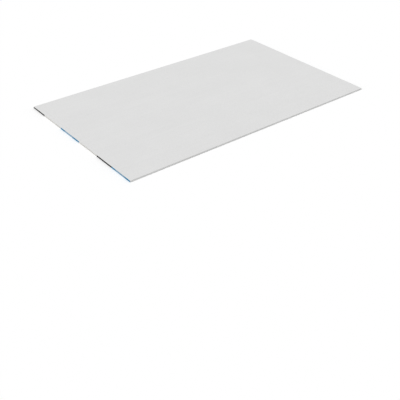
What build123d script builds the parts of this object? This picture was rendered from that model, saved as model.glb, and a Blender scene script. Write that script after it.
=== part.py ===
from build123d import *
import os
from math import atan2, tan

# Board, lying on its back with the face up
sheet_length = 2000.0
sheet_width = 1200.0
sheet_thickness = 12.5

# Shallow taper along both long edges of the face, which the joint filler levels
taper_width = 50.0
taper_depth = 1.3
shoulder_share = 0.25  # part of the taper that its soft break with the flat face takes up

# Liner paper folded round the long edges
face_fold_radius = 1.5
back_fold_radius = 1.0

# Printed paper tape over each cut end
tape_thickness = 0.25
tape_margin = 0.4  # rim of the cut end that stays bare round the tape


def board_section():
    """Section across the sheet: a flat back on the ground line and a tapered face above it."""
    half_width = sheet_width / 2
    edge_height = sheet_thickness - taper_depth
    taper_slope = atan2(taper_depth, taper_width)
    shoulder_radius = taper_width * shoulder_share / tan(taper_slope / 2)
    right_half = [
        ((half_width, 0), back_fold_radius),
        ((half_width, edge_height), face_fold_radius),
        ((half_width - taper_width, sheet_thickness), shoulder_radius),
    ]
    left_half = [((-across, up), radius) for (across, up), radius in reversed(right_half)]
    corners, radii = zip(*right_half, *left_half)
    return make_face(FilletPolyline(*corners, radius=radii, close=True))


def gypsum_board():
    """The whole board, its section drawn out along the length."""
    return extrude(Plane.YZ * board_section(), amount=sheet_length / 2, both=True)


def end_tape(side):
    """Strip of tape on one cut end: side is -1 for the left end and 1 for the right end."""
    strip = offset(board_section(), amount=-tape_margin)
    cut_end = Plane.YZ.offset(side * sheet_length / 2)
    return extrude(cut_end * strip, amount=side * tape_thickness)


pieces = {
    "gypsum_board": gypsum_board(),
    "end_tape_left": end_tape(-1),
    "end_tape_right": end_tape(1),
}

os.makedirs("parts", exist_ok=True)
for name, piece in pieces.items():
    export_step(piece, f"parts/{name}.step")
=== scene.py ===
import math

import bmesh
import bpy
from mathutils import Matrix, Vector, noise


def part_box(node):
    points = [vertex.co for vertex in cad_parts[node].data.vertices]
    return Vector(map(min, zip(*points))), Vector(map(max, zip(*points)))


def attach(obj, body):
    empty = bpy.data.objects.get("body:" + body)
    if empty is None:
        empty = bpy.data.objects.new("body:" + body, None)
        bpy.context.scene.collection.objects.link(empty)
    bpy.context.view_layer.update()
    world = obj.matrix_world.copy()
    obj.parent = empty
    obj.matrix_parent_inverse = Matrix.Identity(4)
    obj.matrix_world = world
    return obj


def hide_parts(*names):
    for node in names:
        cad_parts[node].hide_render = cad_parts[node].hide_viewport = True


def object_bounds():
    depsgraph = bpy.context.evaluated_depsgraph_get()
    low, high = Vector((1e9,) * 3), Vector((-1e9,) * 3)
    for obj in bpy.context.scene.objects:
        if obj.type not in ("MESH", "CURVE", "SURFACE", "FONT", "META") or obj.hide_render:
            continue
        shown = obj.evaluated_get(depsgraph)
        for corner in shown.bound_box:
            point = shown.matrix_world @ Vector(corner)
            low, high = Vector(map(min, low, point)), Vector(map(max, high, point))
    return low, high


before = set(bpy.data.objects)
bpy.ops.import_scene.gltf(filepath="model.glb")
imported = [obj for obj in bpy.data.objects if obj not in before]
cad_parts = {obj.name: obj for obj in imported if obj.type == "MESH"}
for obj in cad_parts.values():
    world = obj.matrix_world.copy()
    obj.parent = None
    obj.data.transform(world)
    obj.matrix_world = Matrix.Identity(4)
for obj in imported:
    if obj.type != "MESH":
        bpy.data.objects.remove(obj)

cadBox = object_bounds()
boardLow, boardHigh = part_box("gypsum_board")
boardLength = boardHigh.x - boardLow.x
halfWidth = boardHigh.y
thickness = boardHigh.z
print("frame loaded, nodes:", sorted(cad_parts))


class Wire:
    # one socket of a node tree; sums written between wires add Math nodes
    def __init__(self, tree, socket=None):
        self.tree = tree
        self.socket = socket

    def plug(self, target, value):
        if isinstance(value, Wire):
            self.tree.links.new(value.socket, target)
        else:
            target.default_value = value

    def node(self, kind, settings, sockets, output=0):
        # settings come first, because they decide which sockets are in use
        made = self.tree.nodes.new(kind)
        for name, value in settings.items():
            setattr(made, name, value)
        inUse = [socket for socket in made.inputs if socket.enabled]
        for name, value in sockets.items():
            target = inUse[name] if isinstance(name, int) else next(s for s in inUse if s.name == name)
            self.plug(target, value)
        outlets = [socket for socket in made.outputs if socket.enabled]
        if not outlets:
            return None
        return Wire(self.tree, outlets[output] if isinstance(output, int) else made.outputs[output])

    def maths(self, operation, *values):
        return self.node("ShaderNodeMath", {"operation": operation}, dict(enumerate(values)))

    def __add__(self, other):
        return self.maths("ADD", self, other)

    def __radd__(self, other):
        return self.maths("ADD", other, self)

    def __sub__(self, other):
        return self.maths("SUBTRACT", self, other)

    def __rsub__(self, other):
        return self.maths("SUBTRACT", other, self)

    def __mul__(self, other):
        return self.maths("MULTIPLY", self, other)

    def __rmul__(self, other):
        return self.maths("MULTIPLY", other, self)

    def __truediv__(self, other):
        return self.maths("DIVIDE", self, other)

    def __rtruediv__(self, other):
        return self.maths("DIVIDE", other, self)

    def __mod__(self, other):
        return self.maths("MODULO", self, other)

    def __rmod__(self, other):
        return self.maths("MODULO", other, self)

    def __neg__(self):
        return self.maths("MULTIPLY", self, -1.0)

    def __abs__(self):
        return self.maths("ABSOLUTE", self)

    def below(self, other):
        return self.maths("LESS_THAN", self, other)

    def above(self, other):
        return self.maths("GREATER_THAN", self, other)

    def atLeast(self, other):
        return self.maths("MAXIMUM", self, other)

    def part(self, axis):
        return self.node("ShaderNodeSeparateXYZ", {}, {"Vector": self}, axis)

    def vector(self, x, y, z):
        return self.node("ShaderNodeCombineXYZ", {}, {"X": x, "Y": y, "Z": z})


# Shader helpers

def newMaterial(name, shine):
    made = bpy.data.materials.new(name)
    made.use_nodes = True
    shader = made.node_tree.nodes["Principled BSDF"]
    shader.inputs["Specular IOR Level"].default_value = shine
    return made, shader, Wire(made.node_tree)


def objectPlace(start):
    # the piece's own coordinates, in metres
    return start.node("ShaderNodeTexCoord", {}, {}, "Object")


def stretched(start, repeats, turn=0.0):
    # the same coordinates with a pattern's repeats to the metre, turned about Z
    values = {"Vector": objectPlace(start), "Scale": repeats, "Rotation": (0, 0, turn)}
    return start.node("ShaderNodeMapping", {}, values)


def cloud(start, repeats, detail, grit, turn=0.0):
    place = stretched(start, repeats, turn)
    values = {"Vector": place, "Scale": 1.0, "Detail": detail, "Roughness": grit}
    return start.node("ShaderNodeTexNoise", {}, values)


def band(value, low, high):
    # 0 below low, 1 above high, smooth between
    values = {"Value": value, "From Min": low, "From Max": high}
    return value.node("ShaderNodeMapRange", {"interpolation_type": "SMOOTHSTEP"}, values)


def blend(amount, first, second):
    values = {"Factor": amount, "A": first, "B": second}
    return amount.node("ShaderNodeMix", {"data_type": "RGBA"}, values)


def tint(colour, share=1.0):
    return tuple(part * share for part in colour) + (1.0,)


def patternsOf(start, look):
    return {name: cloud(start, *values) for name, values in look["patterns"].items()}


def swayed(base, patterns, weights):
    # a level that each named pattern moves by its weight
    for name, weight in weights.items():
        base = base + weight * (patterns[name] - 0.5)
    return base


def mottled(patterns, look, colour):
    amount = swayed(0.5, patterns, look["shade"])
    return blend(amount, tint(colour, 1 - look["spread"]), tint(colour, 1 + look["spread"]))


def flecked(start, under, flecks):
    for pattern, limits, cover, colour in flecks:
        under = blend(cover * band(cloud(start, *pattern), *limits), under, tint(colour))
    return under


def relief(start, shader, height, look):
    values = {"Height": height, "Strength": look["bump"], "Distance": look["bumpDepth"]}
    start.plug(shader.inputs["Normal"], start.node("ShaderNodeBump", {}, values))


# Face paper, which also wraps the long edges

facePaperLook = {
    "colour": (0.731, 0.731, 0.729),       # pale neutral grey
    "spread": 0.045,                       # how far the mottling strays
    "patterns": {                          # repeats to the metre, detail, grit
        "clouds": ((3.2, 4.0, 4.0), 4.0, 0.55),
        "streaks": ((1.4, 55.0, 55.0), 3.0, 0.55),           # run with the paper machine
        "fibres": ((310.0, 1250.0, 1250.0), 3.0, 0.65),
        "pulp": ((95.0, 170.0, 170.0), 3.0, 0.6),
    },
    "shade": {"clouds": 0.7, "streaks": 0.45, "fibres": 2.2, "pulp": 1.3},
    "flecks": (                            # pattern, limits, cover, colour
        (((420.0, 760.0, 760.0), 1.0, 0.55), (0.71, 0.77), 0.45, (0.50, 0.49, 0.46)),
    ),
    "rub": ((26.0, 300.0, 300.0), 4.0, 0.6),                 # fuzzed fibres along the folds
    "rubLimits": (0.48, 0.66),
    "rubWidth": 0.0035,
    "rubCover": 0.7,
    "rubColour": (0.80, 0.795, 0.78),
    "rubDullness": 0.06,
    "shine": 0.28,
    "roughness": 0.84,
    "dullness": {"fibres": 0.16, "streaks": 0.06},
    "height": {"fibres": 0.65, "pulp": 0.35},
    "bump": 0.22,
    "bumpDepth": 0.00025,
}


def facePaper(look):
    made, shader, start = newMaterial("facePaper", look["shine"])
    patterns = patternsOf(start, look)
    paper = flecked(start, mottled(patterns, look, look["colour"]), look["flecks"])
    nearFold = band(abs(objectPlace(start).part("Y")), halfWidth - look["rubWidth"], halfWidth)
    rub = nearFold * band(cloud(start, *look["rub"]), *look["rubLimits"])
    dull = swayed(look["roughness"], patterns, look["dullness"])
    start.plug(shader.inputs["Base Color"], blend(look["rubCover"] * rub, paper, tint(look["rubColour"])))
    start.plug(shader.inputs["Roughness"], dull + look["rubDullness"] * rub)
    relief(start, shader, swayed(0.0, patterns, look["height"]), look)
    return made


# Back liner, a plainer recycled paper

backLinerLook = {
    "colour": (0.385, 0.345, 0.285),       # grey-brown
    "spread": 0.16,
    "patterns": {
        "clouds": ((2.6, 5.5, 5.5), 5.0, 0.55),
        "streaks": ((2.2, 70.0, 70.0), 3.0, 0.55),
        "fibres": ((260.0, 980.0, 980.0), 4.0, 0.65),
        "pulp": ((60.0, 130.0, 130.0), 4.0, 0.6),
    },
    "shade": {"clouds": 0.6, "streaks": 0.5, "fibres": 0.5, "pulp": 0.6},
    "flecks": (                            # dark ones, then pale ones turned a little
        (((240.0, 430.0, 430.0), 2.0, 0.55), (0.67, 0.72), 0.60, (0.16, 0.14, 0.12)),
        (((210.0, 390.0, 390.0), 2.0, 0.50, 0.35), (0.68, 0.73), 0.55, (0.62, 0.59, 0.53)),
    ),
    "shine": 0.22,
    "roughness": 0.90,
    "dullness": {"fibres": 0.14},
    "height": {"fibres": 0.6, "pulp": 0.4},
    "bump": 0.35,
    "bumpDepth": 0.0003,
}


def backLiner(look):
    made, shader, start = newMaterial("backLiner", look["shine"])
    patterns = patternsOf(start, look)
    paper = flecked(start, mottled(patterns, look, look["colour"]), look["flecks"])
    start.plug(shader.inputs["Base Color"], paper)
    start.plug(shader.inputs["Roughness"], swayed(look["roughness"], patterns, look["dullness"]))
    relief(start, shader, swayed(0.0, patterns, look["height"]), look)
    return made


# Cut end, foamed gypsum between the edges of the papers

cutEndLook = {
    "gypsum": (0.70, 0.685, 0.645),
    "spread": 0.07,
    "patterns": {
        "chalk": ((160.0, 160.0, 160.0), 4.0, 0.6),
        "layers": ((90.0, 90.0, 2600.0), 2.0, 0.55),         # sheets of pulp, edge on
    },
    "shade": {"chalk": 0.9},
    "paperEdge": (0.46, 0.42, 0.36),
    "paperLimits": (0.45, 0.62),
    "bubbles": (620.0, 620.0, 620.0),
    "bubbleLimits": (0.16, 0.34),
    # the pits are darkened in colour as well as sunk by the bump: painted shade in the bubbles' hollows
    "pitCover": 0.35,
    "pitPaintedShade": 0.6,
    "pitDepth": 0.8,
    "shine": 0.2,
    "roughness": 0.92,
    "dullness": {"chalk": 0.1},
    "height": {"chalk": 1.0},
    "bump": 0.5,
    "bumpDepth": 0.0004,
}


def cutEnd(look):
    made, shader, start = newMaterial("cutEnd", look["shine"])
    patterns = patternsOf(start, look)
    cells = {"Vector": stretched(start, look["bubbles"]), "Scale": 1.0}
    pits = 1 - band(start.node("ShaderNodeTexVoronoi", {}, cells), *look["bubbleLimits"])
    core = mottled(patterns, look, look["gypsum"])
    torn = blend(band(patterns["layers"], *look["paperLimits"]), core, tint(look["paperEdge"]))
    # the pits' colour is darkened too: painted shade in the bubbles' hollows
    shadedPits = blend(look["pitCover"] * pits, torn, tint(look["gypsum"], look["pitPaintedShade"]))
    start.plug(shader.inputs["Base Color"], shadedPits)
    start.plug(shader.inputs["Roughness"], swayed(look["roughness"], patterns, look["dullness"]))
    relief(start, shader, swayed(0.0, patterns, look["height"]) - look["pitDepth"] * pits, look)
    return made


# Geometry Nodes helpers

def newTree(name, outline, sizes, finishes):
    # an empty tree with an input for its outline, each of its sizes and each of its finishes
    kinds = {outline: "Geometry"}
    kinds.update({label: "Int" if isinstance(value, int) else "Float" for label, value in sizes.items()})
    kinds.update({label: "Material" for label in finishes})
    tree = bpy.data.node_groups.new(name, "GeometryNodeTree")
    for label, kind in kinds.items():
        tree.interface.new_socket(label, in_out="INPUT", socket_type="NodeSocket" + kind)
    tree.interface.new_socket("Mesh", in_out="OUTPUT", socket_type="NodeSocketGeometry")
    outlets = tree.nodes.new("NodeGroupInput").outputs
    return Wire(tree), {label: Wire(tree, outlets[label]) for label in kinds}


def grow(name, corners, edges, tree, inputs):
    # runs a tree on a wire outline and keeps what it makes as a plain mesh
    outline = bpy.data.meshes.new(name + "_outline")
    outline.from_pydata(corners, edges, [])
    piece = bpy.data.objects.new(name, outline)
    bpy.context.scene.collection.objects.link(piece)
    modifier = piece.modifiers.new(tree.name, "NODES")
    modifier.node_group = tree
    sockets = {item.name: item.identifier for item in tree.interface.items_tree if item.in_out == "INPUT"}
    for label, value in inputs.items():
        modifier[sockets[label]] = value
    evaluated = piece.evaluated_get(bpy.context.evaluated_depsgraph_get())
    grown = bpy.data.meshes.new_from_object(evaluated)
    piece.modifiers.clear()
    piece.data = grown
    bpy.data.meshes.remove(outline)
    return piece


def smoothFolds(mesh, sharpDegrees=38):
    mesh.shade_smooth()
    mesh.set_sharp_from_angle(angle=math.radians(sharpDegrees))


# Gypsum board, its section swept along the length

boardSize = {
    "taperWidth": 0.050,
    "taperDepth": 0.0013,
    "shoulderRun": 0.0125,             # soft break, each side of the taper's line
    "faceFold": 0.0015,
    "backFold": 0.0010,
    "foldSteps": 8,
    "shoulderSteps": 10,
    "flatSteps": 8,
    "sweep": {
        "Stations": 121,
        "Lap Width": 0.022,            # face paper turned onto the back
        "Liner Thickness": 0.0003,     # back liner, laid over the lap
        "Lap Wander": 0.0017,          # how far the liner's edge strays
        "Lap Repeats": 6.0,
        "Edge Wave": 0.00007,          # how far the folds wander
        "Wave Repeats": 9.0,
        "Wave Reach": 0.004,           # how far in from the long edge
        "Ripple Detail": 2.0,
        "Seed": 3,
    },
}


def evenly(first, last, steps):
    return [first + (last - first) * step / steps for step in range(steps + 1)]


def toMicrometre(place):
    return round(place, 6)


def taperHeight(inward):
    # height of the face, from the long edge inward, before the fold
    size = boardSize
    run = size["shoulderRun"]
    slope = size["taperDepth"] / size["taperWidth"]
    past = inward - size["taperWidth"]
    if past >= run:
        return thickness
    if past <= -run:
        return thickness + slope * past
    return thickness - slope * (run - past) ** 2 / (4 * run)


def faceRun():
    # distances from the long edge at which the face bends, from its taper to the middle
    taper, run = boardSize["taperWidth"], boardSize["shoulderRun"]
    shoulder = evenly(taper - run, taper + run, boardSize["shoulderSteps"])
    return shoulder + evenly(shoulder[-1], halfWidth, boardSize["flatSteps"])[1:]


def foldArc(radius):
    # (inward, drop) from the flat side of a fold round to the long edge
    turns = evenly(0.0, math.pi / 2, boardSize["foldSteps"])
    return [(radius - radius * math.sin(turn), radius - radius * math.cos(turn)) for turn in turns]


def boardSection():
    # (across, up) round the whole section, from the middle of the back
    size = boardSize
    lap, liner = size["sweep"]["Lap Width"], size["sweep"]["Liner Thickness"]
    edgeTop = taperHeight(size["faceFold"])
    half = [(inward, 0.0) for inward in evenly(halfWidth, lap, size["flatSteps"])]
    half.append((lap, liner))              # the liner's cut edge
    half += [(inward, liner + drop) for inward, drop in foldArc(size["backFold"])]
    half += [(inward, edgeTop - drop) for inward, drop in reversed(foldArc(size["faceFold"]))]
    half += [(inward, taperHeight(inward)) for inward in faceRun()]
    right = [(halfWidth - inward, up) for inward, up in half]
    return right + [(-across, up) for across, up in reversed(right[1:-1])]


def boardTree(sizes, finishes):
    start, given = newTree("sweptBoard", "Section", sizes, finishes)

    half = 0.5 * given["Length"]
    ends = {"Start": start.vector(-half, 0.0, 0.0), "End": start.vector(half, 0.0, 0.0)}
    line = start.node("GeometryNodeCurvePrimitiveLine", {}, ends)
    stops = {"Curve": line, "Count": given["Stations"]}
    path = start.node("GeometryNodeResampleCurve", {"mode": "COUNT"}, stops)
    section = start.node("GeometryNodeMeshToCurve", {}, {"Mesh": given["Section"]})
    sweep = {"Curve": path, "Profile Curve": section, "Fill Caps": True}
    swept = start.node("GeometryNodeCurveToMesh", {}, sweep)

    # the folds wander a little inward, and the liner's edge on the back isn't quite straight
    place = start.node("GeometryNodeInputPosition", {}, {})
    along, across = place.part("X"), place.part("Y")
    side = across.maths("SIGN", across)
    inward = given["Half Width"] - abs(across)

    def ripple(repeats):
        spot = start.vector(along * repeats, side * repeats, given["Seed"])
        values = {"Vector": spot, "Scale": 1.0, "Detail": given["Ripple Detail"]}
        return start.node("ShaderNodeTexNoise", {}, values)

    nearFold = across.maths("EXPONENT", -inward / given["Wave Reach"])
    wave = given["Edge Wave"] * nearFold * (0.5 + ripple(given["Wave Repeats"]))
    onLiner = abs(inward - given["Lap Width"]).below(2 * given["Liner Thickness"])
    stray = given["Lap Wander"] * onLiner * (2 * ripple(given["Lap Repeats"]) - 1)
    shift = start.vector(0.0, side * (stray - wave), 0.0)
    sheet = start.node("GeometryNodeSetPosition", {}, {"Geometry": swept, "Offset": shift})

    # each finish is laid over the ones before it
    facing = start.node("GeometryNodeInputNormal", {}, {}, "Normal")
    turned = 0.5                                             # share of a normal that tells where it points
    pastLap = inward.above(0.75 * given["Lap Width"])        # the middles of the laps' faces are nearer
    where = {
        "Face Paper": True,
        "Back Liner": facing.part("Z").below(turned) * pastLap,
        "Cut End": abs(facing.part("X")).above(turned),
    }
    covered = start.node("GeometryNodeRealizeInstances", {}, {"Geometry": sheet})
    for finish, faces in where.items():
        choice = {"Geometry": covered, "Selection": faces, "Material": given[finish]}
        covered = start.node("GeometryNodeSetMaterial", {}, choice)
    start.node("NodeGroupOutput", {}, {"Mesh": covered})
    return start.tree


def makeBoard():
    # the sweep turns its section half round, so it is drawn that way
    corners = [(-across, -up, 0.0) for across, up in boardSection()]
    edges = [(number, (number + 1) % len(corners)) for number in range(len(corners))]
    sizes = {"Length": boardLength, "Half Width": halfWidth, **boardSize["sweep"]}
    finishes = {
        "Face Paper": facePaper(facePaperLook),
        "Back Liner": backLiner(backLinerLook),
        "Cut End": cutEnd(cutEndLook),
    }
    piece = grow("gypsum_board_sheet", corners, edges, boardTree(sizes, finishes), {**sizes, **finishes})
    smoothFolds(piece.data)
    return piece


board = makeBoard()
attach(board, "root")
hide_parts("gypsum_board")
print("board made,", len(board.data.polygons), "faces")


# End tapes

tapeLook = {
    "margin": 0.0004,          # rim of the cut end left bare
    "marginWander": 0.00012,
    "wanderRepeats": 17.0,
    "wanderSeed": 0.5,
    "printHeight": 0.0001,     # how far the printed marks stand off the paper
    "blocks": (                # inks from one long edge to the other, with their widths
        ("blue", 0.200), ("black", 0.169), ("white", 0.216),
        ("blue", 0.234), ("white", 0.221), ("black", 0.160),
    ),
    "inks": {
        "blue": (0.0020, 0.192, 0.368),
        "black": (0.0095, 0.0095, 0.0100),
        "white": (0.690, 0.680, 0.660),
    },
    "spread": 0.20,
    "patterns": {
        "soak": ((120.0, 42.0, 160.0), 4.0, 0.6),            # ink drawn unevenly into the paper
        "fibres": ((900.0, 420.0, 1100.0), 3.0, 0.65),
    },
    "shade": {"soak": 0.9, "fibres": 1.2},
    "flecks": (                            # pinholes where the ink missed the paper
        (((2100.0, 900.0, 2400.0), 1.0, 0.55), (0.69, 0.78), 0.13, (0.60, 0.585, 0.55)),
    ),
    "shine": 0.14,
    "roughness": 0.62,
    "dullness": {"fibres": 0.2, "soak": 0.12},
    "height": {"fibres": 1.0},
    "bump": 0.3,
    "bumpDepth": 0.0002,
    "mapRun": (0.010, 0.950),  # baking map: each block has a row, and fills this much of it
    "mapCap": (0.965, 0.990),  # the tape's closed ends, beside their blocks
    "mapSides": {              # the tape's sides, up a row
        "back": (0.04, 0.16), "top": (0.22, 0.27), "front": (0.33, 0.87), "bottom": (0.93, 0.98),
    },
}


def tapeInk(name, colour, look=tapeLook):
    made, shader, start = newMaterial(name + "TapeInk", look["shine"])
    patterns = patternsOf(start, look)
    inked = flecked(start, mottled(patterns, look, colour), look["flecks"])
    start.plug(shader.inputs["Base Color"], inked)
    start.plug(shader.inputs["Roughness"], swayed(look["roughness"], patterns, look["dullness"]))
    relief(start, shader, swayed(0.0, patterns, look["height"]), look)
    return made


def blockRuns(side):
    # (ink, from, to) across the width; both ends read the same from outside
    runs = []
    start = halfWidth
    for ink, width in tapeLook["blocks"]:
        runs.append((ink, toMicrometre(side * start), toMicrometre(side * (start - width))))
        start -= width
    return runs


def tapeEdges(inward):
    # lower and upper edge of the tape, which follows the folds a margin inside them
    margin = tapeLook["margin"]
    rounding = []
    for fold in (boardSize["backFold"], boardSize["faceFold"]):
        reach = fold - margin
        short = max(0.0, fold - inward)
        rounding.append(reach - math.sqrt(max(0.0, reach ** 2 - short ** 2)))
    top = taperHeight(max(inward, boardSize["faceFold"]))
    return margin + rounding[0], top - margin - rounding[1]


def tapeColumns(side):
    # (across, lower edge, upper edge) from the first block's long edge to the other
    fold = boardSize["faceFold"]
    reach = fold - tapeLook["margin"]
    bends = [fold - reach * math.cos(turn) for turn in evenly(0.0, math.pi / 2, boardSize["foldSteps"])]
    across = {way * (halfWidth - inward) for inward in bends + faceRun() for way in (-1, 1)}
    across.update(join for ink, start, join in blockRuns(side)[:-1])
    places = sorted({toMicrometre(y) for y in across}, reverse=side > 0)
    return [(y, *tapeEdges(halfWidth - abs(y))) for y in places]


def tapeRows(build, side, inner, outer):
    # (across, four corners) along the tape, whose edges wander a little
    look = tapeLook
    rows = []
    for y, lower, upper in tapeColumns(side):
        place = Vector((y * look["wanderRepeats"], side, look["wanderSeed"]))
        lower += look["marginWander"] * noise.noise(place)
        upper += look["marginWander"] * noise.noise(-place)
        corners = ((inner, lower), (inner, upper), (outer, upper), (outer, lower))
        rows.append((y, [build.verts.new((x, y, z)) for x, z in corners]))
    return rows


def makeTape(name, side, materials):
    look = tapeLook
    inks = list(look["inks"])
    runs = blockRuns(side)
    low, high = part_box(name)
    inner, outer = (high.x, low.x) if side < 0 else (low.x, high.x)
    outer -= side * look["printHeight"]
    build = bmesh.new()
    bakeMap = build.loops.layers.uv.new("OFBake")
    rows = tapeRows(build, side, inner, outer)

    def inked(corners, block, along, up):
        # a face in its block's ink, at its spot on the block's row of the map
        face = build.faces.new(corners)
        face.material_index = inks.index(runs[block][0])
        spots = ((along[0], up[0]), (along[1], up[0]), (along[1], up[1]), (along[0], up[1]))
        for loop, (u, v) in zip(face.loops, spots):
            loop[bakeMap].uv = (u, (block + v) / len(runs))

    runLow, runHigh = look["mapRun"]
    for block, (ink, first, last) in enumerate(runs):
        inside = [row for row in rows if min(first, last) <= row[0] <= max(first, last)]
        for (y, here), (yNext, there) in zip(inside, inside[1:]):
            along = [runLow + (runHigh - runLow) * (spot - first) / (last - first) for spot in (y, yNext)]
            for corner, up in enumerate(look["mapSides"].values()):
                after = (corner + 1) % len(here)
                inked((here[corner], there[corner], there[after], here[after]), block, along, up)
    for block, (y, end) in ((0, rows[0]), (len(runs) - 1, rows[-1])):
        inked(end, block, look["mapCap"], look["mapSides"]["front"])

    bmesh.ops.recalc_face_normals(build, faces=build.faces)
    mesh = bpy.data.meshes.new(name + "_strip")
    build.to_mesh(mesh)
    build.free()
    for material in materials:
        mesh.materials.append(material)
    smoothFolds(mesh)
    piece = bpy.data.objects.new(name + "_strip", mesh)
    bpy.context.scene.collection.objects.link(piece)
    return piece


inkMaterials = [tapeInk(name, colour) for name, colour in tapeLook["inks"].items()]
for name, side in (("end_tape_left", -1), ("end_tape_right", 1)):
    tape = makeTape(name, side, inkMaterials)
    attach(tape, "root")
    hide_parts(name)
    print(name, "made,", len(tape.data.polygons), "faces")


# Printed marks on the tapes: plain hatching, a scale of ticks and dashes

markLooks = {
    "pale_tape_hatching": {
        "on": "blue", "ink": ("paleMark", (0.72, 0.735, 0.74)),
        "middle": 0.55, "length": 0.099, "line": 0.0062,     # middle as a share of the block
        "sizes": {"Pitch": 0.0066, "Width": 0.0027, "Height": 0.0066, "Lean": 0.45},
    },
    "dark_tape_ticks": {
        "on": "white", "ink": ("darkMark", (0.016, 0.016, 0.017)),
        "middle": 0.50, "length": 0.200, "line": 0.0027,
        "sizes": {
            "Pitch": 0.005, "Width": 0.0011, "Height": 0.0040, "Foot": 0.5, "Every": 5.0, "Tall": 1.75,
        },
    },
    "grey_tape_dashes": {
        "on": "black", "ink": ("greyMark", (0.052, 0.052, 0.054)),
        "middle": 0.50, "length": 0.096, "line": 0.0062,
        "sizes": {"Pitch": 0.012, "Width": 0.0068, "Height": 0.0018},
    },
}
markSizes = {
    "Pitch": 0.005, "Width": 0.001, "Height": 0.004, "Depth": 0.0002,
    "Lean": 0.0,        # sideways for each unit of height
    "Foot": 0.0,        # 0 centres the mark on its line, 0.5 stands it there
    "Every": 1.0,       # each so many marks, one is tall
    "Tall": 1.0,
    "Uneven": 0.05,     # share by which the print varies
    "Seed": 17,
}


def marksTree():
    start, given = newTree("tapeMarks", "Runs", markSizes, ["Ink"])

    lines = start.node("GeometryNodeMeshToCurve", {}, {"Mesh": given["Runs"]})
    stops = {"Curve": lines, "Length": given["Pitch"]}
    points = start.node("GeometryNodeResampleCurve", {"mode": "LENGTH"}, stops)
    extent = start.vector(given["Depth"], given["Width"], given["Height"])
    bar = start.node("GeometryNodeMeshCube", {}, {"Size": extent})
    place = start.node("GeometryNodeInputPosition", {}, {})
    slant = start.vector(0.0, given["Lean"] * place.part("Z"), given["Foot"] * given["Height"])
    mark = start.node("GeometryNodeSetPosition", {}, {"Geometry": bar, "Offset": slant})

    count = start.node("GeometryNodeSplineParameter", {}, {}, "Index")
    tall = (count % given["Every"]).below(0.5)
    limits = {"Min": 1 - given["Uneven"], "Max": 1 + given["Uneven"], "Seed": given["Seed"]}
    spread = start.node("FunctionNodeRandomValue", {"data_type": "FLOAT"}, limits)
    size = start.vector(1.0, spread, 1 + tall * (given["Tall"] - 1))
    turn = start.vector(0.0, 0.0, math.pi * place.part("X").below(0.0))   # both ends lean alike
    copies = {"Points": points, "Instance": mark, "Rotation": turn, "Scale": size}
    marks = start.node("GeometryNodeInstanceOnPoints", {}, copies)
    solid = start.node("GeometryNodeRealizeInstances", {}, {"Geometry": marks})
    inked = start.node("GeometryNodeSetMaterial", {}, {"Geometry": solid, "Material": given["Ink"]})
    start.node("NodeGroupOutput", {}, {"Mesh": inked})
    return start.tree


def makeMarks(name, look, tree):
    sizes = dict(markSizes, **look["sizes"])
    plane = cadBox[1].x - sizes["Depth"] / 2
    corners, edges = [], []
    for side in (-1, 1):
        for block, first, last in blockRuns(side):
            if block != look["on"]:
                continue
            middle = first + (last - first) * look["middle"]
            edges.append((len(corners), len(corners) + 1))
            for half in (-0.5, 0.5):
                corners.append((side * plane, middle + half * look["length"], look["line"]))
    return grow(name, corners, edges, tree, {**sizes, "Ink": tapeInk(*look["ink"])})


tapeMarks = marksTree()
for name, look in markLooks.items():
    marks = makeMarks(name, look, tapeMarks)
    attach(marks, "root")
    print(name, "made,", len(marks.data.polygons), "faces")


# Stage, light and camera

stageLook = {
    "reach": 60.0,             # from the middle of the floor to its sides
    "gap": 0.0001,             # between the floor and the back of the sheet
    "bounce": 0.84,            # how much light the floor gives back
    "skyShare": 0.55,          # light on the face from all round, of 1
    "keyFrom": (-0.55, 0.04, 0.83),
    "keySpread": 40.0,         # degrees
}


def seenDirectly(start):
    # 1 for rays that show the stage itself, as seen or mirrored
    rays = ("Is Camera Ray", "Is Glossy Ray", "Is Transmission Ray")
    seen, mirrored, through = (start.node("ShaderNodeLightPath", {}, {}, ray) for ray in rays)
    return seen.atLeast(mirrored).atLeast(through)


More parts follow.
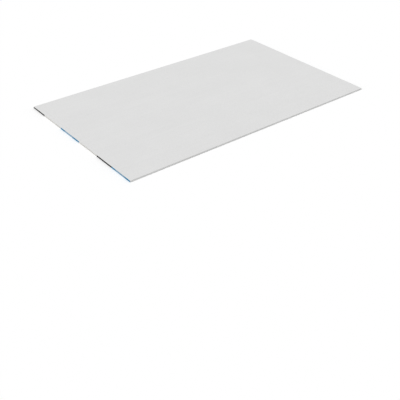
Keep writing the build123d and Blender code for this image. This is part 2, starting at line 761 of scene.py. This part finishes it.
def makeFloor(look):
    mesh = bpy.data.meshes.new("floor")
    build = bmesh.new()
    bmesh.ops.create_grid(build, x_segments=1, y_segments=1, size=look["reach"])
    bmesh.ops.translate(build, verts=build.verts, vec=(0, 0, -look["gap"]))
    build.to_mesh(mesh)
    build.free()
    made = bpy.data.materials.new("paleFloor")
    made.use_nodes = True
    made.node_tree.nodes.clear()
    start = Wire(made.node_tree)
    shown = blend(seenDirectly(start), tint((look["bounce"],) * 3), (1, 1, 1, 1))
    surface = start.node("ShaderNodeBsdfDiffuse", {}, {"Color": shown})
    start.node("ShaderNodeOutputMaterial", {}, {"Surface": surface})
    mesh.materials.append(made)
    floor = bpy.data.objects.new("floor", mesh)
    bpy.context.scene.collection.objects.link(floor)


def makeLight(look):
    world = bpy.data.worlds.new("studio")
    world.use_nodes = True
    world.node_tree.nodes.clear()
    start = Wire(world.node_tree)
    strength = look["skyShare"] + (1 - look["skyShare"]) * seenDirectly(start)
    sky = start.node("ShaderNodeBackground", {}, {"Color": (1, 1, 1, 1), "Strength": strength})
    start.node("ShaderNodeOutputWorld", {}, {"Surface": sky})
    bpy.context.scene.world = world
    towards = Vector(look["keyFrom"]).normalized()
    lamp = bpy.data.lights.new("key", "SUN")
    lamp.energy = math.pi * (1 - look["skyShare"]) / towards.z
    lamp.angle = math.radians(look["keySpread"])
    key = bpy.data.objects.new("key", lamp)
    key.rotation_mode = "QUATERNION"
    key.rotation_quaternion = (-towards).to_track_quat("-Z", "Y")
    bpy.context.scene.collection.objects.link(key)


cameraView = {
    "azimuth": -38.22,         # degrees
    "elevation": 34.37,
    "distance": 3.895,         # from the spot on the floor that it aims at
    "aim": (-0.794, -0.991, 0.0),
    "lens": 62.93,             # millimetres
}


def makeCamera(view):
    turn, rise = math.radians(view["azimuth"]), math.radians(view["elevation"])
    back = Vector((math.sin(turn) * math.cos(rise), -math.cos(turn) * math.cos(rise), math.sin(rise)))
    lens = bpy.data.cameras.new("camera")
    lens.lens = view["lens"]
    camera = bpy.data.objects.new("camera", lens)
    camera.location = Vector(view["aim"]) + back * view["distance"]
    camera.rotation_mode = "QUATERNION"
    camera.rotation_quaternion = (-back).to_track_quat("-Z", "Y")
    bpy.context.scene.collection.objects.link(camera)
    bpy.context.scene.camera = camera


makeFloor(stageLook)
makeLight(stageLook)
makeCamera(cameraView)
bpy.context.scene.view_settings.view_transform = "Standard"
print("stage, light and camera set")
